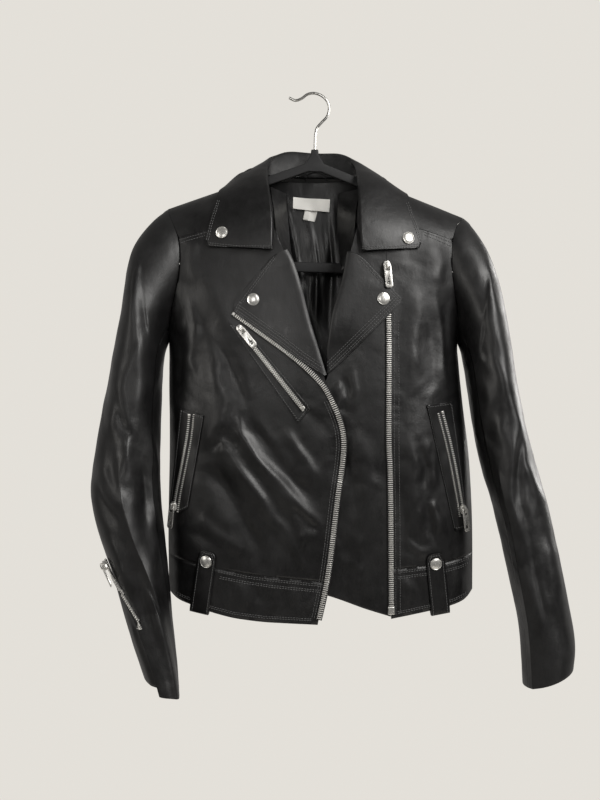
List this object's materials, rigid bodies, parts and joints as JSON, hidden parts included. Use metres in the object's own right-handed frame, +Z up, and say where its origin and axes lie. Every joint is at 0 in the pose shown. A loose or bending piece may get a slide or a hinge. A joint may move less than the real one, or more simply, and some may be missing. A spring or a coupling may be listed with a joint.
{
  "type": "leather jacket on hanger",
  "caption": "Black faux-leather biker jacket with turned-back lapels, metal zips and round snaps, hanging open on a slim black hanger with a wire hook.",
  "frame": {"origin": "inside top of the hanger's hook, where it hangs", "axes": "+X to the viewer's right, +Y towards the wall behind, +Z up"},
  "size_m": [0.6068, 0.14, 0.7557],
  "materials": {
    "faux_leather": "semi-gloss black faux leather with a fine grain",
    "lining_satin": "black satin lining",
    "zip_teeth": "silver metal zip teeth on black tape",
    "nickel": "polished nickel",
    "hanger_black": "matt black plastic",
    "label_tape": "off-white woven tape, blank"
  },
  "bodies": {
    "jacket": {"back_panel": "faux_leather", "belt_loop_left": "faux_leather", "belt_loop_right": "faux_leather", "collar": "faux_leather", "facing_left": "faux_leather", "facing_right": "faux_leather", "front_left": "faux_leather", "front_right": "faux_leather", "hanger_arms": "hanger_black", "hanger_bar": "hanger_black", "hanger_hook": "nickel", "hanging_loop": "faux_leather", "hem_back": "faux_leather", "hem_left": "faux_leather", "hem_right": "faux_leather", "label": "label_tape", "lapel_left": "faux_leather", "lapel_right": "faux_leather", "lining_back": "lining_satin", "size_tab": "label_tape", "sleeve_left_under": "faux_leather", "sleeve_left_upper": "faux_leather", "sleeve_right_under": "faux_leather", "sleeve_right_upper": "faux_leather", "slider_chest": "nickel", "slider_hand_left": "nickel", "slider_hand_right": "nickel", "slider_main": "nickel", "slider_sleeve_left": "nickel", "slider_sleeve_right": "nickel", "snap_collar_left": "nickel", "snap_collar_right": "nickel", "snap_lapel_left": "nickel", "snap_lapel_right": "nickel", "snap_loop_left": "nickel", "snap_loop_right": "nickel", "underflap": "faux_leather", "welt_chest": "faux_leather", "welt_hand_left": "faux_leather", "welt_hand_right": "faux_leather", "yoke_left": "faux_leather", "yoke_right": "faux_leather", "zip_chest": "zip_teeth", "zip_hand_left": "zip_teeth", "zip_hand_right": "zip_teeth", "zip_main_left": "zip_teeth", "zip_main_right": "zip_teeth", "zip_sleeve_left": "zip_teeth", "zip_sleeve_right": "zip_teeth"},
    "pull_chest": {"pull_chest": "nickel"},
    "pull_hand_left": {"pull_hand_left": "nickel"},
    "pull_hand_right": {"pull_hand_right": "nickel"},
    "pull_main": {"pull_main": "nickel"},
    "pull_sleeve_left": {"pull_sleeve_left": "nickel"},
    "pull_sleeve_right": {"pull_sleeve_right": "nickel"}
  },
  "joints": [
    {"name": "main_pull_swing", "type": "hinge", "parent": "jacket", "child": "pull_main", "pos_m": [0.08868, -0.05528, -0.23066], "axis": [-0.9923, -0.0737, -0.0992], "range_deg": [0, 150]},
    {"name": "chest_pull_swing", "type": "hinge", "parent": "jacket", "child": "pull_chest", "pos_m": [-0.09192, -0.06094, -0.30974], "axis": [-0.7796, -0.0904, -0.6197], "range_deg": [0, 150]},
    {"name": "hand_left_pull_swing", "type": "hinge", "parent": "jacket", "child": "pull_hand_left", "pos_m": [-0.18107, -0.02983, -0.53151], "axis": [-0.7972, 0.5901, 0.1276], "range_deg": [0, 8]},
    {"name": "hand_right_pull_swing", "type": "hinge", "parent": "jacket", "child": "pull_hand_right", "pos_m": [0.18888, -0.03343, -0.53499], "axis": [-0.8567, -0.4922, -0.1542], "range_deg": [0, 150]},
    {"name": "sleeve_left_pull_swing", "type": "hinge", "parent": "jacket", "child": "pull_sleeve_left", "pos_m": [-0.26006, -0.06588, -0.59983], "axis": [-0.1923, 0.8015, -0.5662], "range_deg": [0, 150]},
    {"name": "sleeve_right_pull_swing", "type": "hinge", "parent": "jacket", "child": "pull_sleeve_right", "pos_m": [0.30196, -0.00276, -0.60188], "axis": [0.6273, -0.7339, 0.2605], "range_deg": [0, 150]}
  ]
}
